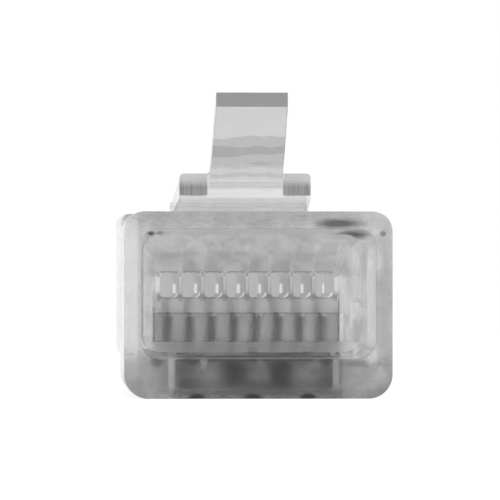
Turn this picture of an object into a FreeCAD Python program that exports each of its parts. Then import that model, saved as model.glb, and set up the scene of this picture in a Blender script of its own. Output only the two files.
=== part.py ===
"""Eight-position modular plug: clear moulded housing, release latch, eight blade contacts, two clamp bars.

Frame, in millimetres: the plug stands on its contact side, latch up.  X runs across the plug, Y from the
cable entry (-Y) to the nose (+Y), Z up.  The origin is under the middle of the plug, on the plane that
the rear section stands on.  Places along the plug are given as a distance behind the nose face.
"""
import FreeCAD, Part
import math
import os

# ---- overall sizes ----
plug_length = 21.46
plug_width = 11.68
nose_width = 11.58
rear_height = 8.15
overall_height = 13.54
nose_height = 6.60
nose_length = 11.68
step_run = 0.80
nose_lead_in = 0.30
rear_top_radius = 0.87
rear_bottom_radius = 1.05
nose_edge_radius = 0.35

# ---- contacts and the wires they pierce ----
contact_count = 8
contact_pitch = 1.016
blade_thickness = 0.35
blade_length = 3.20
blade_setback = 1.00
blade_nose_radius = 0.55
blade_heel_radius = 0.25
blade_stand_proud = 0.35
tine_count = 3
tine_height = 0.75
tine_valley = 0.12
slot_side_gap = 0.02
slot_end_gap = 0.05
slot_mouth_height = 1.70

# ---- wire channels ----
channel_width = 0.86
channel_height = 1.17
channel_depth_below_top = 2.65
channel_corner_radius = 0.24
channel_end_wall = 0.75
channel_length = 9.25

# ---- cable entry ----
entry_side_wall = 0.90
entry_roof_wall = 0.95
entry_floor_wall = 1.93
entry_corner_radius = 0.80
entry_mouth_flare = 0.20
entry_flare_length = 3.30
entry_front_setback = 11.00
funnel_length = 4.30
funnel_floor_height = 0.70
jacket_step_height = 0.44
funnel_side_wall = 0.10
guide_ridge_width = 0.16
guide_ridge_height = 0.22
guide_ridge_length = 3.20

# ---- conductor clamp bar ----
clamp_bar_width = 8.50
clamp_bar_length = 1.70
clamp_bar_setback = 7.40
clamp_bar_drop = 0.70
clamp_bar_recess = 0.35
clamp_bar_groove_radius = 0.36
clamp_gap = 0.05

# ---- cable clamp bar ----
cable_bar_width = 6.82
cable_bar_length = 4.60
cable_bar_rear_wall = 1.96
cable_bar_side_gap = 0.31
cable_bar_end_gap = 0.10
cable_bar_hinge_thickness = 0.50
cable_bar_hinge_height = 0.62
cable_bar_underside = 0.30
cable_bar_flat_length = 1.60
cable_bar_edge_radius = 0.30
cable_bar_ribs = 3
cable_bar_rib_pitch = 2.45
cable_bar_rib_width = 0.40
cable_bar_rib_height = 0.22
sill_relief_width = 6.80
sill_relief_height = 0.42
sill_lip = 0.70

# ---- release latch ----
latch_shoulder_setback = 8.06
latch_shoulder_width = 6.06
latch_root_width = 6.50
latch_shoulder_bottom = 0.76
latch_shoulder_top = 1.90
latch_shoulder_chamfer = 0.16
latch_edge_radius = 0.20
hinge_setback = 0.80
hinge_height = 0.32
hinge_radius = 0.36
hinge_gap = 0.02
hinge_lip_height = 0.50
lever_setback = 15.20
lever_root_width = 3.36
lever_tip_width = 3.16
lever_root_bottom = 1.24
lever_tip_thickness = 0.61
lever_bend_setback = 10.80
lever_bend_share = 1 / 3
lever_bend_thickness = 0.74
lever_corner_radius = 0.14

# ---- worked out from the sizes above ----
nose_y = plug_length / 2
top_z = rear_height
nose_floor_z = rear_height - nose_height
channel_top_z = top_z - channel_depth_below_top
channel_floor_z = channel_top_z - channel_height
channel_front = channel_end_wall
channel_mouth = channel_front + channel_length
entry_roof_z = top_z - entry_roof_wall
slot_front = blade_setback - slot_end_gap
slot_rear = blade_setback + blade_length + slot_end_gap
slot_width = blade_thickness + 2 * slot_side_gap
blade_bottom_z = nose_floor_z - blade_stand_proud
tine_tip_z = channel_floor_z - slot_side_gap
blade_shoulder_z = tine_tip_z - tine_height
cable_bar_setback = plug_length - cable_bar_rear_wall - cable_bar_end_gap - cable_bar_length
lever_tip_bottom = overall_height - rear_height - lever_tip_thickness
lever_rise = lever_tip_bottom - lever_root_bottom
lever_bend_bottom = lever_root_bottom + lever_bend_share * lever_rise
past = 2.0


def from_nose(setback):
    """Y of a place that lies a distance behind the nose face."""
    return nose_y - setback


def at(setback, z):
    """Point of a side view: distance behind the nose face, and height."""
    return FreeCAD.Vector(0, from_nose(setback), z)


def side_wire(points):
    """Closed side-view outline through (setback, z) corners."""
    corners = [at(*point) for point in points]
    return Part.makePolygon(corners + corners[:1])


def across(outline, width):
    """Solid of a side-view outline, spread evenly to both sides of the plug's middle."""
    face = Part.Face(outline)
    face.translate(FreeCAD.Vector(-width / 2, 0, 0))
    return face.extrude(FreeCAD.Vector(width, 0, 0))


def block(x_size, setback_front, setback_rear, z_low, z_high, x_middle=0.0):
    """Box between two setbacks and two heights, centred on x_middle."""
    corner = FreeCAD.Vector(x_middle - x_size / 2, from_nose(setback_rear), z_low)
    return Part.makeBox(x_size, setback_rear - setback_front, z_high - z_low, corner)


def round_section(x_size, z_low, z_high, top_radius, bottom_radius, setback, x_middle=0.0):
    """Wire across the plug: a rectangle whose upper and lower corners have their own radii."""
    y = from_nose(setback)
    half = x_size / 2
    corners = (
        (half, z_low, bottom_radius),
        (half, z_high, top_radius),
        (-half, z_high, top_radius),
        (-half, z_low, bottom_radius),
    )
    quarter = math.pi / 2
    arcs = []
    for index, (x, z, radius) in enumerate(corners):
        centre = FreeCAD.Vector(
            x_middle + x - math.copysign(radius, x), y, z + (radius if z == z_low else -radius)
        )
        points = []
        for quarters in (index - 1, index - 0.5, index):
            turn = quarters * quarter
            points.append(centre + FreeCAD.Vector(radius * math.cos(turn), 0, radius * math.sin(turn)))
        arcs.append(Part.Arc(*points).toShape())
    edges = []
    for index, arc in enumerate(arcs):
        following = arcs[(index + 1) % len(arcs)]
        edges.append(arc)
        edges.append(Part.makeLine(arc.Vertexes[-1].Point, following.Vertexes[0].Point))
    return Part.Wire(edges)


def tube(x_size, z_low, z_high, top_radius, bottom_radius, front, rear, x_middle=0.0):
    """Straight bar along the plug with a rounded rectangular section."""
    section = round_section(x_size, z_low, z_high, top_radius, bottom_radius, rear, x_middle)
    return Part.Face(section).extrude(FreeCAD.Vector(0, rear - front, 0))


def contact_places():
    """X of each contact; contact 1 is at +X, where it lies on the left with the latch turned away."""
    middle = (contact_count - 1) / 2
    return [(middle - index) * contact_pitch for index in range(contact_count)]


def body_outer():
    """Closed outside of the housing: rear section, sloped step and nose with a lead-in."""
    step_rear = nose_length + step_run
    rear = tube(
        plug_width, 0, top_z, rear_top_radius, rear_bottom_radius, nose_length, plug_length
    )
    slope = side_wire(
        [(nose_length, 0), (nose_length, nose_floor_z), (step_rear, 0)]
    )
    rear = rear.cut(across(slope, plug_width + past))
    sections = []
    for inset, setback in ((nose_lead_in, 0), (0, nose_lead_in), (0, nose_length)):
        sections.append(
            round_section(
                nose_width - 2 * inset, nose_floor_z + inset, top_z - inset,
                nose_edge_radius, nose_edge_radius, setback,
            )
        )
    nose = Part.makeLoft(sections, True, True)
    return rear.fuse(nose)


def entry_cavity():
    """Space that the cable is pushed into, narrowing to the row of wire channels."""
    floor_z = entry_floor_wall
    funnel_start = channel_mouth + funnel_length
    ledge_z = channel_floor_z - funnel_floor_height
    step_z = floor_z + jacket_step_height
    window_front = cable_bar_setback - cable_bar_end_gap
    outline = side_wire(
        [
            (plug_length + past, floor_z),
            (plug_length + past, entry_roof_z),
            (funnel_start, entry_roof_z),
            (channel_mouth, channel_top_z),
            (channel_mouth, ledge_z),
            (entry_front_setback, ledge_z),
            (entry_front_setback, step_z),
            (window_front, step_z),
            (window_front, floor_z),
        ]
    )
    width = plug_width - 2 * entry_side_wall
    row_width = contact_count * contact_pitch + 2 * funnel_side_wall
    z = -past
    plan = [
        (width / 2, plug_length + past), (width / 2, funnel_start), (row_width / 2, channel_mouth),
        (-row_width / 2, channel_mouth), (-width / 2, funnel_start), (-width / 2, plug_length + past),
    ]
    corners = [FreeCAD.Vector(x, from_nose(setback), z) for x, setback in plan]
    plan_face = Part.Face(Part.makePolygon(corners + corners[:1]))
    plan_solid = plan_face.extrude(FreeCAD.Vector(0, 0, rear_height + 2 * past))
    rounded = tube(
        width, floor_z, entry_roof_z, entry_corner_radius, entry_corner_radius,
        channel_mouth - past, plug_length + past,
    )
    cavity = across(outline, width).common(plan_solid).common(rounded)
    return cavity.cut(guide_ridges())


def guide_ridges():
    """Ridges on the funnel's roof, in line with the walls between the wire channels."""
    slope = (entry_roof_z - channel_top_z) / funnel_length
    end = channel_mouth + guide_ridge_length
    end_z = channel_top_z + slope * guide_ridge_length
    outline = side_wire(
        [
            (channel_mouth - past, channel_top_z + past),
            (channel_mouth, channel_top_z - guide_ridge_height),
            (end, end_z),
            (end, end_z + past),
        ]
    )
    ridges = []
    for x in contact_places():
        ridge = across(outline, guide_ridge_width)
        ridge.translate(FreeCAD.Vector(x - contact_pitch / 2, 0, 0))
        ridges.append(ridge)
    first = across(outline, guide_ridge_width)
    first.translate(FreeCAD.Vector(contact_places()[0] + contact_pitch / 2, 0, 0))
    return Part.makeCompound(ridges + [first])


def entry_flare():
    """Flare round the cable entry's mouth."""
    width = plug_width - 2 * entry_side_wall
    mouth = round_section(
        width + 2 * entry_mouth_flare, entry_floor_wall - entry_mouth_flare,
        entry_roof_z + entry_mouth_flare, entry_corner_radius, entry_corner_radius, plug_length,
    )
    throat = round_section(
        width, entry_floor_wall, entry_roof_z, entry_corner_radius, entry_corner_radius,
        plug_length - entry_flare_length,
    )
    return Part.makeLoft([mouth, throat], True, True)


def wire_channels():
    """Row of blind channels that hold one insulated conductor each."""
    channels = []
    for x in contact_places():
        channels.append(
            tube(
                channel_width, channel_floor_z, channel_top_z, channel_corner_radius,
                channel_corner_radius, channel_front, channel_mouth + slot_end_gap, x,
            )
        )
    return channels


def contact_slots():
    """Narrow slots from the nose's underside and front face up into the wire channels."""
    outline = side_wire(
        [
            (-past, nose_floor_z - past),
            (-past, nose_floor_z + slot_mouth_height),
            (slot_front, nose_floor_z + slot_mouth_height),
            (slot_front, channel_floor_z + channel_corner_radius),
            (slot_rear, channel_floor_z + channel_corner_radius),
            (slot_rear, nose_floor_z - past),
        ]
    )
    slots = []
    for x in contact_places():
        slot = across(outline, slot_width)
        slot.translate(FreeCAD.Vector(x, 0, 0))
        slots.append(slot)
    return slots


def clamp_window():
    """Window from the nose's underside up into the wire channels, for the conductor clamp bar."""
    return block(
        clamp_bar_width + 2 * clamp_gap, clamp_bar_setback - clamp_gap,
        clamp_bar_setback + clamp_bar_length + clamp_gap, nose_floor_z - past,
        channel_floor_z + channel_corner_radius,
    )


def cable_window():
    """Window in the rear section's floor for the cable clamp bar, and the relief behind it."""
    rear_end = cable_bar_setback + cable_bar_length + cable_bar_end_gap
    window = block(
        cable_bar_width + 2 * cable_bar_side_gap, cable_bar_setback - cable_bar_end_gap,
        rear_end, -past, entry_floor_wall + past / 2,
    )
    relief = block(
        sill_relief_width, rear_end - past / 4, plug_length - sill_lip, -past, sill_relief_height
    )
    return window.fuse(relief)


def hinge_centre():
    """Middle of the latch's root, where the thin web bends."""
    return at(hinge_setback, top_z + hinge_height)


def hinge_cylinder(radius, width):
    """Round bar along the hinge line."""
    start = hinge_centre() - FreeCAD.Vector(width / 2, 0, 0)
    return Part.makeCylinder(radius, width, start, FreeCAD.Vector(1, 0, 0))


def latch_seat():
    """Low rib on the nose that the latch's root grows from, hollowed to the root's round."""
    rib = across(
        side_wire(
            [
                (nose_lead_in, top_z - nose_lead_in),
                (nose_lead_in / 2, top_z),
                (nose_lead_in, top_z + hinge_lip_height),
                (hinge_setback, top_z + hinge_lip_height),
                (hinge_setback + hinge_radius, top_z - nose_lead_in),
            ]
        ),
        latch_root_width,
    )
    return rib


def housing():
    """The clear moulding with every space cut out of it."""
    shape = body_outer().fuse(latch_seat())
    shape = shape.cut(hinge_cylinder(hinge_radius + hinge_gap, latch_root_width + past))
    shape = shape.cut(entry_cavity())
    shape = shape.cut(entry_flare())
    shape = shape.cut(wire_channels())
    shape = shape.cut(contact_slots())
    shape = shape.cut(clamp_window())
    shape = shape.cut(cable_window())
    return shape.removeSplitter()


def latch_profile():
    """Side view of the latch: round root, wide part with its shoulder, and the rising lever."""
    centre_z = top_z + hinge_height
    shoulder = latch_shoulder_setback
    under_start = at(hinge_setback + hinge_radius * 0.6, centre_z - hinge_radius * 0.8)
    shoulder_foot = at(shoulder, top_z + latch_shoulder_bottom)
    lever_heel = at(shoulder, top_z + lever_root_bottom)
    lever_bend_low = at(lever_bend_setback, top_z + lever_bend_bottom)
    tip_low = at(lever_setback, top_z + lever_tip_bottom)
    tip_high = at(lever_setback, top_z + lever_tip_bottom + lever_tip_thickness)
    lever_bend_high = at(lever_bend_setback, top_z + lever_bend_bottom + lever_bend_thickness)
    shoulder_top = at(shoulder, top_z + latch_shoulder_top)
    over_start = at(hinge_setback, centre_z + hinge_radius)
    front = at(hinge_setback - hinge_radius, centre_z)
    edges = [
        Part.makeLine(under_start, shoulder_foot),
        Part.makeLine(shoulder_foot, lever_heel),
        Part.Arc(lever_heel, lever_bend_low, tip_low).toShape(),
        Part.makeLine(tip_low, tip_high),
        Part.Arc(tip_high, lever_bend_high, shoulder_top).toShape(),
        Part.makeLine(shoulder_top, over_start),
        Part.Arc(over_start, front, under_start).toShape(),
    ]
    return Part.Wire(edges)


def ear_chamfers():
    """Wedges that take the lower rear edge off the shoulder beside the lever."""
    foot_z = top_z + latch_shoulder_bottom
    chamfer = latch_shoulder_chamfer
    inner_x = lever_root_width / 2 + lever_corner_radius
    outline = side_wire(
        [
            (latch_shoulder_setback - chamfer, foot_z - chamfer),
            (latch_shoulder_setback - chamfer, foot_z),
            (latch_shoulder_setback, foot_z + chamfer),
            (latch_shoulder_setback + past, foot_z + chamfer),
            (latch_shoulder_setback + past, foot_z - chamfer),
        ]
    )
    wedges = []
    for side in (-1, 1):
        wedge = across(outline, past)
        wedge.translate(FreeCAD.Vector(side * (inner_x + past / 2), 0, 0))
        wedges.append(wedge)
    return wedges


def latch_plan():
    """Top view of the latch: flared wide part, square shoulders, tapering lever."""
    shoulder = latch_shoulder_setback
    corner = lever_corner_radius
    half_root = latch_root_width / 2
    half_shoulder = latch_shoulder_width / 2
    half_lever = lever_root_width / 2
    half_tip = lever_tip_width / 2
    right = [
        (half_root, 0),
        (half_shoulder, shoulder),
        (half_lever + corner, shoulder),
        (half_lever, shoulder + corner),
        (half_tip, lever_setback + past),
    ]
    left = [(-x, setback) for x, setback in reversed(right)]
    points = [FreeCAD.Vector(x, from_nose(setback), 0) for x, setback in right + left]
    edges = []
    count = len(points)
    for index, point in enumerate(points):
        following = points[(index + 1) % count]
        is_corner = index in (2, count - 4)
        if not is_corner:
            edges.append(Part.makeLine(point, following))
            continue
        side = 1 if point.x > 0 else -1
        centre = FreeCAD.Vector(side * (half_lever + corner), from_nose(shoulder + corner), 0)
        middle = centre + FreeCAD.Vector(-side * corner, corner, 0) * math.sqrt(0.5)
        edges.append(Part.Arc(point, middle, following).toShape())
    return Part.Wire(edges)


def release_latch():
    """The springing latch, from its round root at the nose to the lever's tip."""
    side = across(latch_profile(), latch_root_width)
    plan = Part.Face(latch_plan())
    plan.translate(FreeCAD.Vector(0, 0, top_z - past))
    column = plan.extrude(FreeCAD.Vector(0, 0, lever_tip_bottom + 3 * past))
    latch = side.common(column).cut(ear_chamfers()).removeSplitter()
    return latch.makeFillet(latch_edge_radius, shoulder_edges(latch))


def shoulder_edges(latch):
    """The two long upper edges of the wide part."""
    outer_x = lever_root_width / 2 + 2 * lever_corner_radius
    chosen = []
    for edge in latch.Edges:
        start, end = (vertex.Point for vertex in edge.Vertexes)
        outside = min(abs(start.x), abs(end.x)) > outer_x and start.x * end.x > 0
        along = abs(start.y - end.y) > latch_shoulder_setback / 2
        if outside and along and min(start.z, end.z) > top_z + hinge_height:
            chosen.append(edge)
    return chosen


def contact(x):
    """Blade contact: rounded nose edge outside, pointed tines towards the wire."""
    front = blade_setback
    rear = blade_setback + blade_length
    low = blade_bottom_z
    nose_r = blade_nose_radius
    heel_r = blade_heel_radius
    half_root = math.sqrt(0.5)
    edges = [
        Part.Arc(
            at(front, low + nose_r),
            at(front + nose_r * (1 - half_root), low + nose_r * (1 - half_root)),
            at(front + nose_r, low),
        ).toShape(),
        Part.makeLine(at(front + nose_r, low), at(rear - heel_r, low)),
        Part.Arc(
            at(rear - heel_r, low),
            at(rear - heel_r * (1 - half_root), low + heel_r * (1 - half_root)),
            at(rear, low + heel_r),
        ).toShape(),
    ]
    pitch = blade_length / tine_count
    crown = [at(rear, low + heel_r)]
    for index in range(tine_count):
        start = rear - index * pitch
        crown.append(at(start - tine_valley, blade_shoulder_z))
        crown.append(at(start - pitch / 2, tine_tip_z))
        crown.append(at(start - pitch + tine_valley, blade_shoulder_z))
    crown.append(at(front, low + nose_r))
    corners = [crown[0], at(rear, blade_shoulder_z)] + crown[1:-1] + [at(front, blade_shoulder_z), crown[-1]]
    for here, following in zip(corners, corners[1:]):
        edges.append(Part.makeLine(here, following))
    blade = across(Part.Wire(edges), blade_thickness)
    blade.translate(FreeCAD.Vector(x, 0, 0))
    return blade


def conductor_clamp_bar():
    """Bar that is pressed on the eight conductors; its top is grooved to their pitch."""
    low = nose_floor_z + clamp_bar_recess
    high = channel_floor_z - clamp_bar_drop
    front = clamp_bar_setback
    rear = clamp_bar_setback + clamp_bar_length
    bar = block(clamp_bar_width, front, rear, low, high)
    grooves = []
    for x in contact_places():
        centre = FreeCAD.Vector(x, from_nose(rear + past), high + clamp_bar_groove_radius / 2)
        length = clamp_bar_length + 2 * past
        grooves.append(
            Part.makeCylinder(clamp_bar_groove_radius, length, centre, FreeCAD.Vector(0, 1, 0))
        )
    return bar.cut(grooves).removeSplitter()


def cable_clamp_bar():
    """Wedge bar in the floor window: thin at its rear hinge, thick at the front, ribbed on top."""
    front = cable_bar_setback
    rear = cable_bar_setback + cable_bar_length
    low = cable_bar_underside
    high = entry_floor_wall
    hinge_r = cable_bar_hinge_thickness / 2
    hinge_end = rear - hinge_r
    hinge_low = cable_bar_hinge_height - hinge_r
    hinge_high = cable_bar_hinge_height + hinge_r
    r = cable_bar_edge_radius
    edge = r * (1 - math.sqrt(0.5))
    flat_end = front + cable_bar_flat_length
    slope = (high - hinge_high) / (hinge_end - flat_end)
    edges = [
        Part.makeLine(at(front, low), at(front, high - r)),
        Part.Arc(at(front, high - r), at(front + edge, high - edge), at(front + r, high)).toShape(),
        Part.makeLine(at(front + r, high), at(flat_end, high)),
        Part.makeLine(at(flat_end, high), at(hinge_end, hinge_high)),
        Part.Arc(
            at(hinge_end, hinge_high), at(rear, cable_bar_hinge_height), at(hinge_end, hinge_low)
        ).toShape(),
        Part.makeLine(at(hinge_end, hinge_low), at(hinge_end - past / 2, low)),
        Part.makeLine(at(hinge_end - past / 2, low), at(front, low)),
    ]
    bar = across(Part.Wire(edges), cable_bar_width)
    rib_outline = side_wire(
        [
            (front + r, high - cable_bar_rib_height),
            (front + 2 * r, high + cable_bar_rib_height),
            (flat_end, high + cable_bar_rib_height),
            (hinge_end - past / 2, hinge_high + slope * past / 2 + cable_bar_rib_height),
            (hinge_end - past / 2 + r, hinge_high),
        ]
    )
    for index in range(cable_bar_ribs):
        rib = across(rib_outline, cable_bar_rib_width)
        x = (index - (cable_bar_ribs - 1) / 2) * cable_bar_rib_pitch
        rib.translate(FreeCAD.Vector(x, 0, 0))
        bar = bar.fuse(rib)
    return bar.removeSplitter()


def write(name, shape):
    """Save one piece and print what it measures."""
    solids = shape.Solids
    piece = solids[0] if len(solids) == 1 else Part.makeCompound(solids)
    box = piece.BoundBox
    print(f"{name}: {len(solids)} solid, valid {piece.isValid()}, volume {piece.Volume:.3f} mm3")
    print(f"  x {box.XMin:.3f} {box.XMax:.3f}  y {box.YMin:.3f} {box.YMax:.3f}")
    print(f"  z {box.ZMin:.3f} {box.ZMax:.3f}")
    piece.exportStep(f"parts/{name}.step")


def main():
    """Build and save every piece."""
    os.makedirs("parts", exist_ok=True)
    write("housing", housing())
    write("release_latch", release_latch())
    for number, x in enumerate(contact_places(), start=1):
        write(f"contact_{number}", contact(x))
    write("conductor_clamp_bar", conductor_clamp_bar())
    write("cable_clamp_bar", cable_clamp_bar())


main()
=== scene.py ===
"""Looks of the clear eight-position modular plug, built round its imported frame.

Lengths are metres in the frame's own axes: the cable entry faces -Y, the nose +Y, the latch is on top.
Shader patterns are worked out in millimetres of object space, because the plug is about 20 mm long.
The tables below hold the patterns' places and strengths, and the property groups what a user would change.
"""

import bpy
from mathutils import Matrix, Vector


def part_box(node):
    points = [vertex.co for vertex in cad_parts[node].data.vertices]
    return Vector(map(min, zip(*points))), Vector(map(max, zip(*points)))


bl_info = {
    "name": "Clear modular plug",
    "version": (1, 0, 0),
    "blender": (4, 5, 0),
    "location": "3D View > Sidebar > Modular Plug",
    "description": "Clear moulding, plated contacts and studio for an eight-position modular plug",
    "category": "Object",
}

import math

import bmesh
import bpy
from bpy.props import FloatProperty, FloatVectorProperty, PointerProperty
from mathutils import Vector

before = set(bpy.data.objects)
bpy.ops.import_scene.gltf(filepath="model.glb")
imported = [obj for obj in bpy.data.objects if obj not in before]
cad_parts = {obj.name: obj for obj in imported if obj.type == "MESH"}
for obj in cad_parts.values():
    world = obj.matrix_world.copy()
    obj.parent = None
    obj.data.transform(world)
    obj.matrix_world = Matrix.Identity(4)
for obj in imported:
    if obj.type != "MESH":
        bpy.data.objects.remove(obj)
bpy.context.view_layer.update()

MM = 0.001
CONTACTS = [f"contact_{number}" for number in range(1, 9)]

# Millimetres: the contacts' pitch across the plug, and levels along it
CONTACT_PITCH = (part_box("contact_1")[0][0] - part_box("contact_2")[0][0]) / MM
HOUSING_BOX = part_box("housing")
REAR = HOUSING_BOX[0][1] / MM
NOSE = HOUSING_BOX[1][1] / MM
LEVER_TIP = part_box("release_latch")[0][1] / MM
LEVER_LENGTH = 7.14
SHOULDER = LEVER_TIP + LEVER_LENGTH

# Zones of the mouldings in millimetres: middle, half width and soft edge along each axis that counts.
# "side" is the distance from the plug's middle plane. The cavity narrows at the step, where the wire
# channels begin; the stop is the ledge that the cable's jacket meets; the window is the contact side's.
# The channel mouth, throat, sill, foot and window zones place painted shade, the strips painted light.
ZONES = {
    "cavity": {"x": (0.0, 5.35, 0.05), "z": (4.62, 2.83, 0.04)},
    "step": {"x": (0.0, 4.30, 0.05), "y": (0.73, 0.05, 0.05), "z": (3.98, 0.31, 0.04)},
    "stop": {"x": (0.0, 5.20, 0.05), "y": (-3.97, 0.05, 0.05), "z": (2.15, 0.24, 0.03)},
    "nose_wall": {"y": (NOSE - 0.75, 0.03, 0.03)},
    "channels": {"x": (0.0, 4.10, 0.05), "y": (5.40, 4.48, 0.05), "z": (4.92, 0.62, 0.03)},
    "rib_ends": {"x": (0.0, 4.10, 0.05), "y": (0.73, 0.05, 0.05), "z": (4.92, 0.62, 0.03)},
    "channel_mouths": {"x": (0.0, 4.10, 0.05), "y": (0.95, 0.30, 0.05)},
    "throat": {"x": (0.0, 4.40, 0.20), "y": (-0.60, 1.40, 1.60), "z": (5.90, 0.35, 0.30)},
    "sill": {"x": (0.0, 3.45, 0.05), "z": (1.82, 0.15, 0.04)},
    "foot": {"x": (0.0, 3.35, 0.15)},
    "left_strip": {"x": (-3.79, 0.08, 0.14)},
    "right_strip": {"x": (3.37, 0.08, 0.14)},
    "strips": {"z": (1.30, 0.70, 0.40)},
    "corner": {"y": (-2.10, 1.10, 0.50), "z": (3.60, 0.40, 0.60)},
    "flare_right": {"z": (4.30, 1.40, 1.20)},
    "window_gap": {"side": (4.33, 0.09, 0.04), "y": (-0.50, 0.35, 0.10), "z": (3.00, 0.62, 0.05)},
    "window_wall": {"side": (4.30, 0.06, 0.03), "y": (2.48, 0.95, 0.05), "z": (2.70, 1.10, 0.10)},
    "heel": {"y": (SHOULDER - 0.28, 0.34, 0.06), "z": (9.48, 0.22, 0.05)},
}

# Soft edges in millimetres: where a mask starts to rise or fall, and where that ends
END_FACE = (REAR + 0.02, REAR + 0.06)
CAVITY_FRONT = (-0.50, -0.40)
FUNNEL_FRONT = (0.62, 0.70)
FUNNEL_TOP = (5.43, 5.50)
FUNNEL_SIDE = (4.12, 4.20)
CHANNEL_EDGE_FRONT = (6.0, 7.0)
CHANNEL_EDGE_TOP = (4.85, 5.05)
PALE_LEFT = (-5.35, -5.15)
MARKS_END = (-4.5, -4.0)
SILL_END = (-7.5, -7.2)
FOOT_TOP = (0.35, 0.50)
ROOF = (5.2, 5.4)
CORNER_SIDE = (4.45, 4.60)
FLARE_END = (-7.8, -7.0)
FLARE_SIDE = (4.85, 4.96)
LEAD_IN_SIDE = (5.46, 5.50)
LEAD_IN_FRONT = (NOSE - 0.34, NOSE - 0.30)
STOP_ENDS = (3.40, 3.60)
SKIN = (5.60, 5.80)
NOSE_EDGE_SIDE = (-5.50, -5.60)
NOSE_EDGE_TOP = (7.50, 7.80)
NOSE_EDGE_REAR = (-0.5, 0.5)
LEVER_END = (LEVER_TIP + 0.03, LEVER_TIP + 0.06)
EAR_SIDE = (1.70, 1.80)
EAR_FOOT = (9.03, 9.07)
EAR_SHADE_TOP = (9.36, 9.90)
EAR_MILKY = (9.60, 9.95)
HEEL_SIDE = (1.66, 1.72)
SHADE_BANDS_FRONT = (SHOULDER - 0.1, SHOULDER + 0.4)
LEVER_FRONT = (SHOULDER - 0.4, SHOULDER - 0.1)
LATCH_ROOT = (SHOULDER + 0.04, SHOULDER + 0.10)
GROOVE_RISE = (2.30, 3.55)
RIB_TOPS = (1.90, 1.98)

# Share of the light that goes straight through a face; the negative ones lower it
THROUGH = {
    "cavity": 0.50, "roof": -0.18, "cloud": 0.12, "mottle": -0.16, "corner": 0.60,
    "flare": 0.40, "flare_right": 0.30, "step": 0.20, "stop": 0.34, "stop_ends": -0.26,
    "channels": 0.02, "channel_edge": 0.75, "skin": 0.12, "nose_edge": 0.60, "lead_in": 0.55,
    "latch_root": 0.55, "heel": 0.65, "rib_tops": 1.3,
}
# Strength of the painted shade in the zones that look dark, and of the hazy zones: painted light on the
# rear face's strips, frosting on the step, stop and ears, and a matt cut at the lever's tip
DARK = {
    "channel_roof": 0.80, "channel_floor": 0.55, "throat": 0.15, "throat_mottle": 0.16,
    "sill": 0.72, "foot": 0.30, "foot_speckle": 0.16,
}
FROST_AND_PAINTED_LIGHT = {
    "left_strip": 0.30, "right_strip": 0.24, "strip": 0.75, "strip_mottle": 0.25, "step": 0.16,
    "stop": 0.30, "ear": 0.45, "tip": 0.34,
}
# What is left of a piece's own tint where a pattern covers it, and how much the pattern covers: cloud,
# stain and rolling are the materials' own tone, the latch's lighter wide part is painted light, the
# blades' brighter edges a painted highlight, the rest painted shade
TONE = {
    "cloud": 0.82, "end": 0.45, "dark": 0.03, "cut_wall": 0.40, "painted_light_root": 1.2, "shade_band": 0.55,
    "ear": 0.45, "lower_ear_shade": 0.10, "groove_shade": 0.10, "rubbed_and_highlit": 1.15,
}
COVER = {
    "cloud": 0.7, "end": 0.45, "end_mottle": 0.32, "end_speckle": 0.16, "nose_wall": 0.8,
    "wide_band_shade": 0.75, "thin_band_shade": 0.55, "ear": 0.60, "lower_ear_shade": 0.80, "lower_ear_shade_streaks": 0.22,
    "lower_ear_shade_in_bands": 0.2, "stain": 0.45, "rolling": 0.15, "rubbed_and_highlit": 0.7,
}
# Roughness on top of the polished plastic's or the blades' own; "end" is a share of the cavity's
ROUGH = {
    "grain": 0.05, "end": 0.6, "frosted": 0.38, "ear": 0.07, "tip": 0.45, "bar": 0.10,
    "bar_grain": 0.12, "rolling": 0.12, "stain": 0.08, "rubbed_and_highlit": -0.10,
}
# Painted shade and painted light as spots on the matt rear face: x, z, half width, half height in
# millimetres, and strength
PAINTED_SHADE_MARKS = (
    (-4.64, 7.20, 0.30, 0.15, 1.00), (-4.22, 7.22, 0.26, 0.13, 0.65), (5.43, 7.18, 0.24, 0.20, 0.90),
    (-4.42, 1.60, 0.42, 0.36, 0.85), (3.45, 7.62, 1.60, 0.34, 1.00), (4.20, 7.12, 0.95, 0.36, 1.00),
    (4.50, 1.52, 1.30, 0.22, 0.60), (-5.30, 0.62, 0.50, 0.45, 0.40), (-1.16, 1.15, 0.95, 0.85, 0.80),
    (1.06, 1.15, 0.90, 0.95, 0.85), (-0.29, 1.80, 0.30, 0.26, 0.75), (-2.68, 0.06, 0.60, 0.28, 1.00),
    (-0.22, 0.06, 0.70, 0.28, 1.00), (2.17, 0.06, 0.60, 0.28, 1.00), (-2.90, 1.66, 0.60, 0.30, 0.50),
    (3.00, 1.66, 0.65, 0.30, 0.50), (0.00, 0.28, 4.80, 0.26, 0.50), (5.50, 4.60, 0.70, 4.00, 0.40),
    (0.00, 7.72, 7.00, 0.50, 0.18),
)
# Painted light: pale hazy spots on the rear face
PAINTED_LIGHT_MARKS = (
    (-2.39, 1.62, 0.26, 0.60, 0.20), (0.09, 1.62, 0.24, 0.56, 0.09), (2.54, 1.62, 0.28, 0.60, 0.09),
    (4.93, 1.91, 0.42, 0.80, 0.45), (5.37, 1.04, 0.40, 0.65, 0.18), (-2.05, 1.00, 0.95, 0.90, 0.10),
    (1.95, 1.00, 1.00, 0.85, 0.08), (0.10, 1.05, 0.60, 0.80, 0.06), (-4.85, 0.85, 1.10, 1.10, 0.10),
    (4.65, 0.80, 1.40, 1.00, 0.13), (-5.45, 4.00, 0.60, 5.00, 0.10), (2.20, 7.60, 0.40, 0.45, 0.16),
    (5.24, 5.95, 0.34, 0.80, 0.30), (-0.60, 7.90, 2.60, 0.30, 0.05),
)
# Share of a painted spot's reach within which it is whole
MARK_CORE = 0.25
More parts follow.
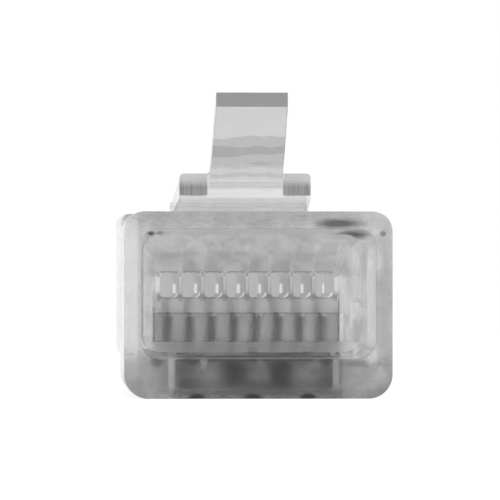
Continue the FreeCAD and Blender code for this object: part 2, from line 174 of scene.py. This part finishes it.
# Painted shade as lines at the wire channels' mouths (height, half width, soft edge), and places across a
# contact's row
CHANNEL_ROOF = (5.49, 0.035, 0.02)
CHANNEL_FLOOR = (4.33, 0.035, 0.02)
CHANNEL_FLOOR_SAG = 0.10
RIB_EDGE = (0.37, 0.42)
CHANNEL_EDGE = (0.930, 0.012, 0.01)
CHANNEL_EDGE_SLANT = 0.40
GROOVE = (0.5, 0.13, 0.10)
# Stripes of painted shade across the lever: height, half width, soft edge
WIDE_SHADE_BAND = (11.45, 0.38, 0.05)
THIN_SHADE_BAND = (10.60, 0.04, 0.10)

# Noise patterns: scale, detail, roughness, and where one is stretched, by how much along each axis
WAVES = (1.1, 2.0, 0.5, (0.5, 0.22, 0.5))
GRAIN = (5.5, 3.0, 0.6)
SPARKS = (9.0, 2.0, 0.6)
CLOUD = (0.55, 3.0, 0.6)
MOTTLE = (1.5, 2.0, 0.55, (1.0, 0.3, 1.0))
SPECKLE = (4.5, 3.0, 0.7)
SHADE_STREAKS = (1.0, 2.0, 0.5, (9.0, 1.0, 0.35))
RIPPLE = (1.0, 2.0, 0.5, (0.7, 0.3, 0.7))
BAR_CLOUD = (0.9, 2.0, 0.6)
ROLLING = (1.0, 3.0, 0.6, (30.0, 1.2, 22.0))
STAIN = (2.4, 4.0, 0.65)
FLOOR_MOTTLE = (0.02, 2.0, 0.5)

# Soft thresholds of those patterns
GRAIN_PEAKS = (0.45, 0.75)
BAR_GRAIN_PEAKS = (0.35, 0.75)
CLOUD_PATCHES = (0.38, 0.75)
MOTTLE_PATCHES = (0.35, 0.70)
SPECKLE_PATCHES = (0.35, 0.65)
SHADE_STREAK_LINES = (0.35, 0.65)
BAR_PATCHES = (0.42, 0.62)
STAIN_PATCHES = (0.45, 0.75)
RUBBED_AND_HIGHLIT_EDGE = (0.80, 0.99)
RIPPLE_HEIGHT = 0.5

# Bumps: strength, and depth in millimetres
WAVE_BUMP = (0.35, 0.10)
GRAIN_BUMP = (0.10, 0.010)
COARSE_GRAIN_BUMP = (0.2, 0.02)
SPARK_BUMP = (0.25, 0.03)
ROLLING_BUMP = (0.30, 0.012)

# Lamps: name, place in lamp sizes, size and power as shares of the main lamp's
LAMPS = (
    ("overhead", (0.0, -0.3, 1.0), 1.0, 1.0),
    ("left_fill", (-1.0, -0.6, 0.5), 0.6, 0.4),
    ("right_fill", (1.0, -0.4, 0.4), 0.6, 0.3),
)
PLUG_CENTRE = (0.0, 0.0, 0.006)
# Where the camera looks, on the rear face, in metres
AIM_X = -0.000374
AIM_HEIGHT = 0.00647

# The world's grey for the rays that light the plug, and by upward slope for those that look at it
WORLD_LIGHT = 0.72
WORLD_BY_HEIGHT = ((0.0, 1.0), (0.24, 1.0), (0.60, 0.45), (1.0, 0.40))
# The floor as the camera sees it: a steady white, and on it a faint grey that takes the plug's shadow
FLOOR_WHITE = 0.86
FLOOR_SHADOWED = 0.22
FLOOR_DIM = 0.98
# Share of that white which mirrored and refracted rays see near the plug, a painted shade around it, and
# where it becomes whole
FLOOR_GLOW_NEAR = 0.34
FLOOR_GLOW_RISE = (9.0, 60.0)


# ---------------------------------------------------------------- shader maths

class Value:
    """One shader socket; Python's operators on it add Math nodes."""

    def __init__(self, graph, socket):
        self.graph = graph
        self.socket = socket

    def _maths(self, operation, first, second=None):
        inputs = {0: first}
        if second is not None:
            inputs[1] = second
        return self.graph.node("ShaderNodeMath", {"operation": operation}, inputs).out()

    def __add__(self, other):
        return self._maths("ADD", self, other)

    __radd__ = __add__

    def __sub__(self, other):
        return self._maths("SUBTRACT", self, other)

    def __rsub__(self, other):
        return self._maths("SUBTRACT", other, self)

    def __mul__(self, other):
        return self._maths("MULTIPLY", self, other)

    __rmul__ = __mul__

    def absolute(self):
        return self._maths("ABSOLUTE", self)

    def fraction(self):
        return self._maths("FRACT", self)

    def larger(self, other):
        return self._maths("MAXIMUM", self, other)

    def above(self, low, high):
        """0 below low, 1 above high, smooth between."""
        inputs = {"Value": self, "From Min": low, "From Max": high, "To Min": 0.0, "To Max": 1.0}
        settings = {"interpolation_type": "SMOOTHSTEP"}
        return self.graph.node("ShaderNodeMapRange", settings, inputs).out("Result")

    def below(self, low, high):
        """1 below low, 0 above high, smooth between."""
        return 1 - self.above(low, high)

    def within(self, middle, half_width, edge):
        """1 near middle, falling to 0 past half_width."""
        return (self - middle).absolute().below(half_width, half_width + edge)


class Made:
    """A node just made, with its outputs by name."""

    def __init__(self, graph, node):
        self.graph = graph
        self.node = node

    def out(self, name=0):
        return Value(self.graph, self.node.outputs[name])


class Graph:
    """A material's or world's node tree, emptied and ready to be written."""

    def __init__(self, owner):
        owner.use_nodes = True
        self.tree = owner.node_tree
        self.tree.nodes.clear()

    def node(self, kind, settings=None, inputs=None):
        """Makes one node: its settings first, then the values or links of its sockets."""
        node = self.tree.nodes.new(kind)
        for name, setting in (settings or {}).items():
            if name == "stops":
                self._set_ramp(node.color_ramp, setting)
            else:
                setattr(node, name, setting)
        for name, value in (inputs or {}).items():
            if isinstance(value, Value):
                self.tree.links.new(value.socket, node.inputs[name])
            else:
                node.inputs[name].default_value = value
        return Made(self, node)

    @staticmethod
    def _set_ramp(ramp, stops):
        while len(ramp.elements) < len(stops):
            ramp.elements.new(1.0)
        for element, (position, colour) in zip(ramp.elements, stops):
            element.position = position
            element.color = colour

    def vector_maths(self, operation, inputs, output=0):
        return self.node("ShaderNodeVectorMath", {"operation": operation}, inputs).out(output)

    def object_mm(self):
        """Object coordinates in millimetres."""
        coordinates = self.node("ShaderNodeTexCoord").out("Object")
        return self.vector_maths("SCALE", {0: coordinates, "Scale": 1 / MM})

    def split(self, vector):
        parts = self.node("ShaderNodeSeparateXYZ", None, {0: vector})
        return parts.out("X"), parts.out("Y"), parts.out("Z")

    def stretched(self, vector, x, y, z):
        return self.vector_maths("MULTIPLY", {0: vector, 1: (x, y, z)})

    def spot(self, vector, middle, reach):
        """1 at a point, falling to 0 at reach from it; an axis with no reach doesn't count."""
        offset = self.vector_maths("SUBTRACT", {0: vector, 1: middle})
        scaled = self.stretched(offset, *(1 / length if length else 0.0 for length in reach))
        return self.vector_maths("LENGTH", {0: scaled}, "Value").below(MARK_CORE, 1.0)

    def marks(self, vector, table):
        """Soft spots of a table, each as strong as its last value, together."""
        total = 0.0
        for x, z, half_width, half_height, strength in table:
            mark = self.spot(vector, (x, 0.0, z), (half_width, None, half_height)) * strength
            total = mark.larger(total)
        return total

    def noise(self, vector, scale, detail, roughness, stretch=None):
        if stretch is not None:
            vector = self.stretched(vector, *stretch)
        inputs = {"Vector": vector, "Scale": scale, "Detail": detail, "Roughness": roughness}
        return self.node("ShaderNodeTexNoise", None, inputs).out("Fac")

    def mix_colour(self, amount, first, second):
        inputs = {"Factor": amount, 6: first, 7: second}
        return self.node("ShaderNodeMix", {"data_type": "RGBA"}, inputs).out(2)

    def bump(self, height, strength, distance_mm, normal):
        inputs = {
            "Height": height, "Strength": strength, "Distance": distance_mm * MM, "Normal": normal,
        }
        return self.node("ShaderNodeBump", None, inputs).out("Normal")

    def rounded_normal(self, radius):
        return self.node("ShaderNodeBevel", {"samples": 4}, {"Radius": radius}).out("Normal")

    def mix_shader(self, amount, first, second):
        return self.node("ShaderNodeMixShader", None, {0: amount, 1: first, 2: second}).out()

    def surface(self, shader):
        self.node("ShaderNodeOutputMaterial", None, {"Surface": shader})


class Place:
    """Object coordinates in millimetres, whole and by axis."""

    def __init__(self, graph):
        self.whole = graph.object_mm()
        self.x, self.y, self.z = graph.split(self.whole)
        self.side = self.x.absolute()

    def zone(self, name):
        """1 inside a zone of the table, falling to 0 past its soft edges."""
        mask = None
        for axis, limits in ZONES[name].items():
            part = getattr(self, axis).within(*limits)
            mask = part if mask is None else mask * part
        return mask

    def in_rows(self):
        """0 to 1 across each contact's row: 0 at a rib's middle, 0.5 at a channel's."""
        return (self.x * (1 / CONTACT_PITCH)).fraction()


def grey(level):
    return (level, level, level, 1.0)


def shaded(tint, factor=1.0):
    return tuple(factor * channel for channel in tint) + (1.0,)


def toned(tint, name):
    """A piece's tint as a pattern of the table leaves it."""
    return shaded(tint, TONE[name])


# ---------------------------------------------------------------- what a user would change

class PlugMouldingSettings(bpy.types.PropertyGroup):
    """The clear plastic."""
    tint: FloatVectorProperty(
        name="Tint", description="Colour left in light that has passed through", subtype="COLOR",
        size=3, default=(0.68, 0.683, 0.687), min=0.0, max=1.0,
    )
    latch_tint: FloatVectorProperty(
        name="Latch tint", description="The same for the thin latch", subtype="COLOR",
        size=3, default=(0.74, 0.743, 0.747), min=0.0, max=1.0,
    )
    bar_tint: FloatVectorProperty(
        name="Bar tint", description="The same for the clamp bars", subtype="COLOR",
        size=3, default=(0.58, 0.583, 0.587), min=0.0, max=1.0,
    )
    index: FloatProperty(
        name="Refractive index", description="Index of the clear plastic", default=1.585, min=1.0
    )
    polish: FloatProperty(
        name="Polish roughness", description="Roughness of the polished outside",
        default=0.05, min=0.0, max=1.0, subtype="FACTOR",
    )
    cavity: FloatProperty(
        name="Cavity roughness", description="Roughness of the spark-eroded cable cavity",
        default=0.34, min=0.0, max=1.0, subtype="FACTOR",
    )
    edge_round: FloatProperty(
        name="Edge rounding", description="Radius that moulded edges are shaded with",
        default=0.00004, unit="LENGTH", precision=6,
    )


class PlugContactSettings(bpy.types.PropertyGroup):
    """The plated blades."""
    gold: FloatVectorProperty(
        name="Plating", description="Colour of the gold plating", subtype="COLOR", size=3,
        default=(0.80, 0.60, 0.26), min=0.0, max=1.0,
    )
    copper: FloatVectorProperty(
        name="Base metal", description="Colour of the bare alloy where the plating is thin",
        subtype="COLOR", size=3, default=(0.62, 0.40, 0.24), min=0.0, max=1.0,
    )
    roughness: FloatProperty(
        name="Roughness", description="Roughness of the plated blades",
        default=0.28, min=0.0, max=1.0, subtype="FACTOR",
    )
    # The same radius places the edges' painted highlight
    edge_round: FloatProperty(
        name="Edge rounding", description="Radius that the blades' rubbed edges are shaded with",
        default=0.00003, unit="LENGTH", precision=6,
    )


class PlugStageSettings(bpy.types.PropertyGroup):
    """Camera, floor and lamps."""
    camera_distance: FloatProperty(
        name="Camera distance", description="From the rear face, along the plug", default=0.22,
        unit="LENGTH",
    )
    camera_side: FloatProperty(
        name="Camera side angle", description="How far to the left of the plug's axis",
        default=math.radians(2.66), subtype="ANGLE",
    )
    camera_height: FloatProperty(
        name="Camera height", description="Above the floor", default=0.0056, unit="LENGTH"
    )
    view_width: FloatProperty(
        name="View width", description="Width of the view at the rear face", default=0.02174,
        unit="LENGTH",
    )
    floor_size: FloatProperty(
        name="Floor size", description="Side of the square floor", default=3.0, unit="LENGTH"
    )
    floor_tone: FloatProperty(
        name="Floor tone", description="Grey of the pale floor",
        default=0.86, min=0.0, max=1.0, subtype="FACTOR",
    )
    lamp_size: FloatProperty(
        name="Lamp size", description="Side of the soft lamp overhead", default=0.16, unit="LENGTH"
    )
    lamp_power: FloatProperty(
        name="Lamp power", description="Power of the soft lamp overhead",
        default=0.10, min=0.0, unit="POWER",
    )


class PlugSettings(bpy.types.PropertyGroup):
    """Everything that a user would change."""
    moulding: PointerProperty(type=PlugMouldingSettings)
    contacts: PointerProperty(type=PlugContactSettings)
    stage: PointerProperty(type=PlugStageSettings)


def chosen():
    return bpy.context.scene.modular_plug


# ---------------------------------------------------------------- clear plastic

def moulded_base(graph):
    """Place, fine grain and gently waved, rounded normal that every clear moulding shares."""
    place = Place(graph)
    waves = graph.noise(place.whole, *WAVES)
    grain = graph.noise(place.whole, *GRAIN)
    rounded = graph.rounded_normal(chosen().moulding.edge_round)
    normal = graph.bump(waves, *WAVE_BUMP, rounded)
    normal = graph.bump(grain, *GRAIN_BUMP, normal)
    return place, grain, normal


def clear_shader(graph, colour, roughness, normal, alpha, haze):
    """Refracting plastic with a tint; alpha lets light straight through, haze scatters it."""
    index = chosen().moulding.index
    clear = graph.node(
        "ShaderNodeBsdfPrincipled", None,
        {
            "Base Color": colour, "Roughness": roughness, "IOR": index,
            "Transmission Weight": 1.0, "Normal": normal, "Alpha": alpha,
        },
    ).out()
    frost_and_painted_light = graph.node(
        "ShaderNodeBsdfPrincipled", None,
        {"Base Color": grey(0.80), "Roughness": 0.5, "IOR": index, "Normal": normal},
    ).out()
    graph.surface(graph.mix_shader(haze, clear, frost_and_painted_light))


class HousingFaces:
    """Masks of the housing's faces and zones, and the soft noises that vary them."""

    def __init__(self, graph, place):
        self.place = place
        self.end = place.y.below(*END_FACE)
        funnel_walls = place.z.above(*FUNNEL_TOP).larger(place.side.above(*FUNNEL_SIDE))
        funnel = place.y.below(*FUNNEL_FRONT) * funnel_walls
        entry = place.y.below(*CAVITY_FRONT).larger(funnel)
        self.cavity = place.zone("cavity") * entry * (1 - self.end)
        self.step = place.zone("step")
        self.stop = place.zone("stop")
        self.frosted = self.step.larger(self.stop)
        self.nose_wall = place.zone("nose_wall")
        self.cloud = graph.noise(place.whole, *CLOUD).above(*CLOUD_PATCHES)
        self.mottle = graph.noise(place.whole, *MOTTLE).above(*MOTTLE_PATCHES)
        self.speckle = graph.noise(place.whole, *SPECKLE).above(*SPECKLE_PATCHES)

    def dark(self, graph):
        """Painted shade: spots on the rear face, and the lines and corners inside that look dark."""
        place = self.place
        rib = (place.in_rows() - 0.5).absolute().above(*RIB_EDGE)
        mouths = place.zone("channel_mouths")
        floor_middle, floor_half, floor_edge = CHANNEL_FLOOR
        roof = mouths * place.z.within(*CHANNEL_ROOF) * (1 - rib)
        floor = mouths * place.z.within(floor_middle, floor_half + rib * CHANNEL_FLOOR_SAG, floor_edge)
        sill = place.y.below(*SILL_END) * place.zone("sill")
        foot = self.end * place.zone("foot") * place.z.below(*FOOT_TOP)
        shades = (
            roof * DARK["channel_roof"],
            floor * DARK["channel_floor"],
            place.zone("throat") * (DARK["throat"] + self.mottle * DARK["throat_mottle"]),
            sill * DARK["sill"],
            foot * (DARK["foot"] + self.speckle * DARK["foot_speckle"]),
        )
        total = graph.marks(place.whole, PAINTED_SHADE_MARKS) * place.y.below(*MARKS_END)
        for shade in shades:
            total = total.larger(shade)
        return total

    def frost_and_painted_light(self, graph):
        """Painted light as pale spots and strips on the rear face, and the frosted step and stop."""
        place = self.place
        # Painted light: pale strips on the rear face
        left = place.zone("left_strip") * FROST_AND_PAINTED_LIGHT["left_strip"]
        right = place.zone("right_strip") * FROST_AND_PAINTED_LIGHT["right_strip"]
        uneven = FROST_AND_PAINTED_LIGHT["strip"] + self.mottle * FROST_AND_PAINTED_LIGHT["strip_mottle"]
        strips = left.larger(right) * place.zone("strips") * uneven
        total = graph.marks(place.whole, PAINTED_LIGHT_MARKS).larger(strips) * self.end
        return total.larger(self.step * FROST_AND_PAINTED_LIGHT["step"]).larger(self.stop * FROST_AND_PAINTED_LIGHT["stop"])

    def passing(self):
        """Share of the light that goes straight through, as a clear plug's close walls hand it on."""
        x, y, z, side = self.place.x, self.place.y, self.place.z, self.place.side
        zone = self.place.zone
        walls = (
            THROUGH["cavity"] + z.above(*ROOF) * THROUGH["roof"]
            + self.cloud * THROUGH["cloud"] + self.mottle * THROUGH["mottle"]
        )
        corner = x.above(*CORNER_SIDE) * zone("corner") * THROUGH["corner"]
        flare_right = x.above(*FLARE_SIDE) * zone("flare_right") * THROUGH["flare_right"]
        flare = y.below(*FLARE_END) * (THROUGH["flare"] + flare_right)
        channels = zone("channels")
        channel_edge = self.place.in_rows().within(*CHANNEL_EDGE) * channels
        channel_edge = channel_edge * (y - x * CHANNEL_EDGE_SLANT).above(*CHANNEL_EDGE_FRONT)
        channel_edge = channel_edge * z.below(*CHANNEL_EDGE_TOP)
        nose_edge = x.above(*NOSE_EDGE_SIDE) * z.above(*NOSE_EDGE_TOP) * y.above(*NOSE_EDGE_REAR)
        lead_in = side.above(*LEAD_IN_SIDE) * y.above(*LEAD_IN_FRONT)
        shares = (
            self.step * THROUGH["step"],
            self.stop * (THROUGH["stop"] + side.above(*STOP_ENDS) * THROUGH["stop_ends"]),
            channels * THROUGH["channels"],
            channel_edge * THROUGH["channel_edge"],
            self.cavity * corner,
            self.cavity * flare,
            side.above(*SKIN) * THROUGH["skin"],
            nose_edge * THROUGH["nose_edge"],
            lead_in * THROUGH["lead_in"],
        )
        total = self.cavity * (1 - self.frosted) * walls
        for share in shares:
            total = total.larger(share)
        return total


def housing_plastic(name):
    """Clear housing: polished outside, matt rear face, spark-eroded cable cavity, painted shade and
    painted light on the rear face and inside.
    """
    choice = chosen().moulding
    material = bpy.data.materials.new(name)
    graph = Graph(material)
    place, grain, normal = moulded_base(graph)
    faces = HousingFaces(graph, place)
    dark = faces.dark(graph)

    matt = faces.cavity + faces.end * ROUGH["end"]
    matt = matt.larger(faces.nose_wall).larger(place.zone("rib_ends"))
    roughness = choice.polish + grain.above(*GRAIN_PEAKS) * ROUGH["grain"]
    roughness = roughness + matt * (choice.cavity - choice.polish)
    roughness = roughness.larger(faces.frosted * ROUGH["frosted"])
    sparks = graph.noise(place.whole, *SPARKS)
    normal = graph.bump(grain, *COARSE_GRAIN_BUMP, normal)
    normal = graph.bump(sparks, *SPARK_BUMP, normal)

    tint = choice.tint
    colour = graph.mix_colour(faces.cloud * COVER["cloud"], shaded(tint), toned(tint, "cloud"))
    # Painted shade: the rear face, but for its left edge, and the nose's inner wall take an uneven darker
    # copy of the tint
    uneven = COVER["end"] + faces.mottle * COVER["end_mottle"] + faces.speckle * COVER["end_speckle"]
    shade = faces.end * uneven * place.x.above(*PALE_LEFT)
    shade = shade.larger(faces.nose_wall * COVER["nose_wall"])
    colour = graph.mix_colour(shade, colour, toned(tint, "end"))
    colour = graph.mix_colour(faces.frosted, colour, grey(1.0))
    # Painted shade: spots, channel mouth lines, throat, sill and foot take a near-black copy of the tint
    colour = graph.mix_colour(dark, colour, toned(tint, "dark"))
    # Painted shade: the window's cut walls and the gap beside them take a darker copy of the tint
    cut_walls = place.zone("window_wall").larger(place.zone("window_gap"))
    colour = graph.mix_colour(cut_walls, colour, toned(tint, "cut_wall"))

    alpha = 1 - faces.passing() * (1 - dark)
    clear_shader(graph, colour, roughness, normal, alpha, faces.frost_and_painted_light(graph))
    return material


def latch_plastic(name):
    """Clear latch: painted shade in stripes across the lever and on the ears beside it, painted light on
    its wide part, matt cut end.
    """
    choice = chosen().moulding
    material = bpy.data.materials.new(name)
    graph = Graph(material)
    place, grain, normal = moulded_base(graph)
    y, z, side = place.y, place.z, place.side
    ears = y.within(SHOULDER, 0.03, 0.03) * side.above(*EAR_SIDE) * z.above(*EAR_FOOT)
    end = y.below(*LEVER_END)
    roughness = choice.polish + grain.above(*GRAIN_PEAKS) * ROUGH["grain"]
    roughness = roughness + ears * ROUGH["ear"] + end * ROUGH["tip"]

    # Painted shade: two wavy stripes across the lever
    waved = z + graph.noise(place.whole, *RIPPLE) * RIPPLE_HEIGHT
    wide_shade = waved.within(*WIDE_SHADE_BAND) * COVER["wide_band_shade"]
    thin_band_shade = waved.within(*THIN_SHADE_BAND) * COVER["thin_band_shade"]
    shade_bands = (wide_shade + thin_band_shade) * y.below(*SHADE_BANDS_FRONT)
    # The streaks and the foot of the ears' painted shade
    shade_streaks = graph.noise(place.whole, *SHADE_STREAKS).above(*SHADE_STREAK_LINES)
    lower_ear_shade = ears * z.below(*EAR_SHADE_TOP) * (COVER["lower_ear_shade"] + shade_streaks * COVER["lower_ear_shade_streaks"])
    shade_bands = shade_bands.larger(lower_ear_shade * COVER["lower_ear_shade_in_bands"])
    tint = choice.latch_tint
    # Painted light: the latch's wide part past the shoulder takes a lighter copy of the tint
    colour = graph.mix_colour(y.below(*LEVER_FRONT), toned(tint, "painted_light_root"), shaded(tint))
    colour = graph.mix_colour(shade_bands, colour, toned(tint, "shade_band"))
    # Painted shade on the ears' faces: darker all over, much darker and streaked towards their foot
    colour = graph.mix_colour(ears * COVER["ear"], colour, toned(tint, "ear"))
    colour = graph.mix_colour(lower_ear_shade, colour, toned(tint, "lower_ear_shade"))

    haze = ears * z.above(*EAR_MILKY) * FROST_AND_PAINTED_LIGHT["ear"] + end * FROST_AND_PAINTED_LIGHT["tip"]
    heel = side.below(*HEEL_SIDE) * place.zone("heel")
    passing = (y.above(*LATCH_ROOT) * THROUGH["latch_root"]).larger(heel * THROUGH["heel"])
    clear_shader(graph, colour, roughness, normal, 1 - passing, haze)
    return material


def bar_plastic(name, blotches, groove_shade_share):
    """Clear clamp bar: left matt by the tool, darker in random patches, with painted shade in its wire
    slots.
    """
    choice = chosen().moulding
    material = bpy.data.materials.new(name)
    graph = Graph(material)
    place, grain, normal = moulded_base(graph)
    peaks = grain.above(*BAR_GRAIN_PEAKS)
    roughness = choice.polish + ROUGH["bar"] + peaks * ROUGH["bar_grain"]
    cloud = graph.noise(place.whole, *BAR_CLOUD).above(*BAR_PATCHES)
    tint = choice.bar_tint
    colour = graph.mix_colour(cloud, shaded(tint), shaded(tint, 1 - blotches))
    # Painted shade in the bar's wire slots, as strong as each bar is given
    groove_shade = place.in_rows().within(*GROOVE) * place.z.above(*GROOVE_RISE) * groove_shade_share
    colour = graph.mix_colour(groove_shade, colour, toned(tint, "groove_shade"))
    passing = place.z.above(*RIB_TOPS) * THROUGH["rib_tops"] * blotches
    clear_shader(graph, colour, roughness, normal, 1 - passing, 0.0)
    return material


# ---------------------------------------------------------------- plated metal

def plated_contact(name):
    """Gold flash over copper alloy, with rolling marks along the blade, and edges left smoother by rubbing
    and painted brighter as a highlight.
    """
    choice = chosen().contacts
    material = bpy.data.materials.new(name)
    graph = Graph(material)
    place = graph.object_mm()
    rolled = graph.noise(place, *ROLLING)
    stain = graph.noise(place, *STAIN).above(*STAIN_PATCHES)
    thin = stain * COVER["stain"] + rolled * COVER["rolling"]
    colour = graph.mix_colour(thin, shaded(choice.gold), shaded(choice.copper))

    plain = graph.node("ShaderNodeNewGeometry").out("True Normal")
    turned = graph.rounded_normal(choice.edge_round)
    straightness = graph.vector_maths("DOT_PRODUCT", {0: plain, 1: turned}, "Value")
    # The edges' lower roughness is from rubbing; their brighter gold is a painted highlight
    rubbed_and_highlit = straightness.below(*RUBBED_AND_HIGHLIT_EDGE)
    colour = graph.mix_colour(rubbed_and_highlit * COVER["rubbed_and_highlit"], colour, toned(choice.gold, "rubbed_and_highlit"))
    roughness = choice.roughness + rolled * ROUGH["rolling"]
    roughness = roughness + stain * ROUGH["stain"] + rubbed_and_highlit * ROUGH["rubbed_and_highlit"]
    normal = graph.bump(rolled, *ROLLING_BUMP, turned)
    shader = graph.node(
        "ShaderNodeBsdfPrincipled", None,
        {"Base Color": colour, "Metallic": 1.0, "Roughness": roughness, "Normal": normal},
    ).out()
    graph.surface(shader)
    return material


# ---------------------------------------------------------------- studio

def any_ray(graph, *kinds):
    """1 for a ray of any of these kinds, by Light Path's names."""
    path = graph.node("ShaderNodeLightPath")
    total = path.out(kinds[0])
    for kind in kinds[1:]:
        total = total + path.out(kind)
    return total.above(0.0, 1.0)


def studio_world():
    """White behind the plug for the rays that look at it, plain grey light for the rest."""
    world = bpy.data.worlds.new("studio")
    bpy.context.scene.world = world
    graph = Graph(world)
    seen = any_ray(graph, "Is Camera Ray", "Is Glossy Ray", "Is Transmission Ray")
    straight = graph.node("ShaderNodeLightPath").out("Is Camera Ray")
    direction = graph.node("ShaderNodeTexCoord").out("Generated")
    height = graph.split(direction)[2]
    ramp = {"stops": [(position, grey(level)) for position, level in WORLD_BY_HEIGHT]}
    overhead = graph.node("ShaderNodeValToRGB", ramp, {"Fac": height}).out("Color")
    shown = graph.mix_colour(straight, overhead, grey(1.0))
    colour = graph.mix_colour(seen, grey(WORLD_LIGHT), shown)
    light = graph.node("ShaderNodeBackground", None, {"Color": colour, "Strength": 1.0}).out()
    graph.node("ShaderNodeOutputWorld", None, {"Surface": light})


def pale_floor(tone):
    """Matt grey that is shown as white to the rays that look at it, but for the plug's shadow; near the
    plug, mirrored and refracted rays see less of the white, a painted shade.
    """
    material = bpy.data.materials.new("pale_floor")
    graph = Graph(material)
    straight = graph.node("ShaderNodeLightPath").out("Is Camera Ray")
    bounced = any_ray(graph, "Is Glossy Ray", "Is Transmission Ray")
    place = graph.object_mm()
    # Painted shade: the white fades towards the plug for mirrored and refracted rays
    away = graph.vector_maths("LENGTH", {0: place}, "Value").above(*FLOOR_GLOW_RISE)
    seen = straight.larger(bounced * (FLOOR_GLOW_NEAR + away * (1 - FLOOR_GLOW_NEAR)))
    mottle = graph.noise(place, *FLOOR_MOTTLE)
    colour = graph.mix_colour(mottle, grey(tone), grey(tone * FLOOR_DIM))
    matt = graph.node("ShaderNodeBsdfDiffuse", None, {"Color": colour}).out()
    faint = graph.node("ShaderNodeBsdfDiffuse", None, {"Color": grey(FLOOR_SHADOWED)}).out()
    glow = {"Color": grey(1.0), "Strength": FLOOR_WHITE}
    white = graph.node("ShaderNodeEmission", None, glow).out()
    lit = graph.node("ShaderNodeAddShader", None, {0: faint, 1: white}).out()
    graph.surface(graph.mix_shader(seen, matt, lit))
    return material


def studio_floor():
    """Pale floor that runs on into the white background and keeps the plug's shadow."""
    choice = chosen().stage
    bm = bmesh.new()
    bmesh.ops.create_grid(bm, x_segments=1, y_segments=1, size=choice.floor_size / 2)
    mesh = bpy.data.meshes.new("floor")
    bm.to_mesh(mesh)
    bm.free()
    floor = bpy.data.objects.new("floor", mesh)
    bpy.context.scene.collection.objects.link(floor)
    mesh.materials.append(pale_floor(choice.floor_tone))


def aim_at(thing, place, aim):
    """Puts a lamp or camera at a place and turns it towards a point."""
    thing.location = place
    thing.rotation_mode = "QUATERNION"
    thing.rotation_quaternion = (Vector(aim) - Vector(place)).to_track_quat("-Z", "Y")


def soft_lamp(name, place, size, power):
    """Square area lamp turned towards the plug."""
    data = bpy.data.lights.new(name, "AREA")
    data.size = size
    data.energy = power
    lamp = bpy.data.objects.new(name, data)
    bpy.context.scene.collection.objects.link(lamp)
    lamp.visible_transmission = False
    aim_at(lamp, place, PLUG_CENTRE)


def plug_camera():
    """Long lens behind the cable entry, a little to its left and almost level with it."""
    choice = chosen().stage
    rear = REAR * MM
    left = choice.camera_distance * math.tan(choice.camera_side)
    place = Vector((-left, rear - choice.camera_distance, choice.camera_height))
    aim = Vector((AIM_X, rear, AIM_HEIGHT))
    data = bpy.data.cameras.new("camera")
    data.sensor_width = 36.0
    data.lens = data.sensor_width * (aim - place).length / choice.view_width
    data.clip_start = 0.01
    data.clip_end = 10.0
    camera = bpy.data.objects.new("camera", data)
    bpy.context.scene.collection.objects.link(camera)
    aim_at(camera, place, aim)
    bpy.context.scene.camera = camera


# ---------------------------------------------------------------- operators and panel

def give(node, material):
    """Puts one material on a frame node."""
    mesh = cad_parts[node].data
    mesh.materials.clear()
    mesh.materials.append(material)


class PLUG_OT_mouldings(bpy.types.Operator):
    """Gives the housing, latch and clamp bars their clear plastic"""
    bl_idname = "modular_plug.mouldings"
    bl_label = "Clear mouldings"

    def execute(self, context):
        give("housing", housing_plastic("clear_housing"))
        give("release_latch", latch_plastic("clear_latch"))
        give("conductor_clamp_bar", bar_plastic("clear_conductor_bar", blotches=0.15, groove_shade_share=0.55))
        give("cable_clamp_bar", bar_plastic("clear_cable_bar", blotches=0.70, groove_shade_share=0.0))
        return {"FINISHED"}


class PLUG_OT_contacts(bpy.types.Operator):
    """Gives the eight blades their plating"""
    bl_idname = "modular_plug.contacts"
    bl_label = "Plated contacts"

    def execute(self, context):
        plating = plated_contact("gold_plate")
        for node in CONTACTS:
            give(node, plating)
        return {"FINISHED"}


class PLUG_OT_stage(bpy.types.Operator):
    """Sets the pale floor, the soft lamps, the white background and the camera"""
    bl_idname = "modular_plug.stage"
    bl_label = "Studio"

    def execute(self, context):
        choice = chosen().stage
        studio_world()
        studio_floor()
        for name, place, size, power in LAMPS:
            place = tuple(choice.lamp_size * length for length in place)
            soft_lamp(name, place, choice.lamp_size * size, choice.lamp_power * power)
        plug_camera()
        context.scene.view_settings.view_transform = "Standard"
        return {"FINISHED"}


class PLUG_PT_sidebar(bpy.types.Panel):
    """Shows the plug's settings and the buttons that apply them"""
    bl_idname = "PLUG_PT_sidebar"
    bl_label = "Modular Plug"
    bl_space_type = "VIEW_3D"
    bl_region_type = "UI"
    bl_category = "Modular Plug"

    def draw(self, context):
        layout = self.layout
        plug = context.scene.modular_plug
        for group in (plug.moulding, plug.contacts, plug.stage):
            box = layout.box()
            for name in group.__annotations__:
                box.prop(group, name)
        for operator in OPERATORS:
            layout.operator(operator.bl_idname)


SETTINGS = (PlugMouldingSettings, PlugContactSettings, PlugStageSettings, PlugSettings)
OPERATORS = (PLUG_OT_mouldings, PLUG_OT_contacts, PLUG_OT_stage)
CLASSES = SETTINGS + OPERATORS + (PLUG_PT_sidebar,)


def register():
    for each in CLASSES:
        bpy.utils.register_class(each)
    bpy.types.Scene.modular_plug = PointerProperty(type=PlugSettings)


def unregister():
    del bpy.types.Scene.modular_plug
    for each in reversed(CLASSES):
        bpy.utils.unregister_class(each)


def main():
    register()
    bpy.ops.modular_plug.mouldings()
    bpy.ops.modular_plug.contacts()
    bpy.ops.modular_plug.stage()


if __name__ == "__main__":
    main()
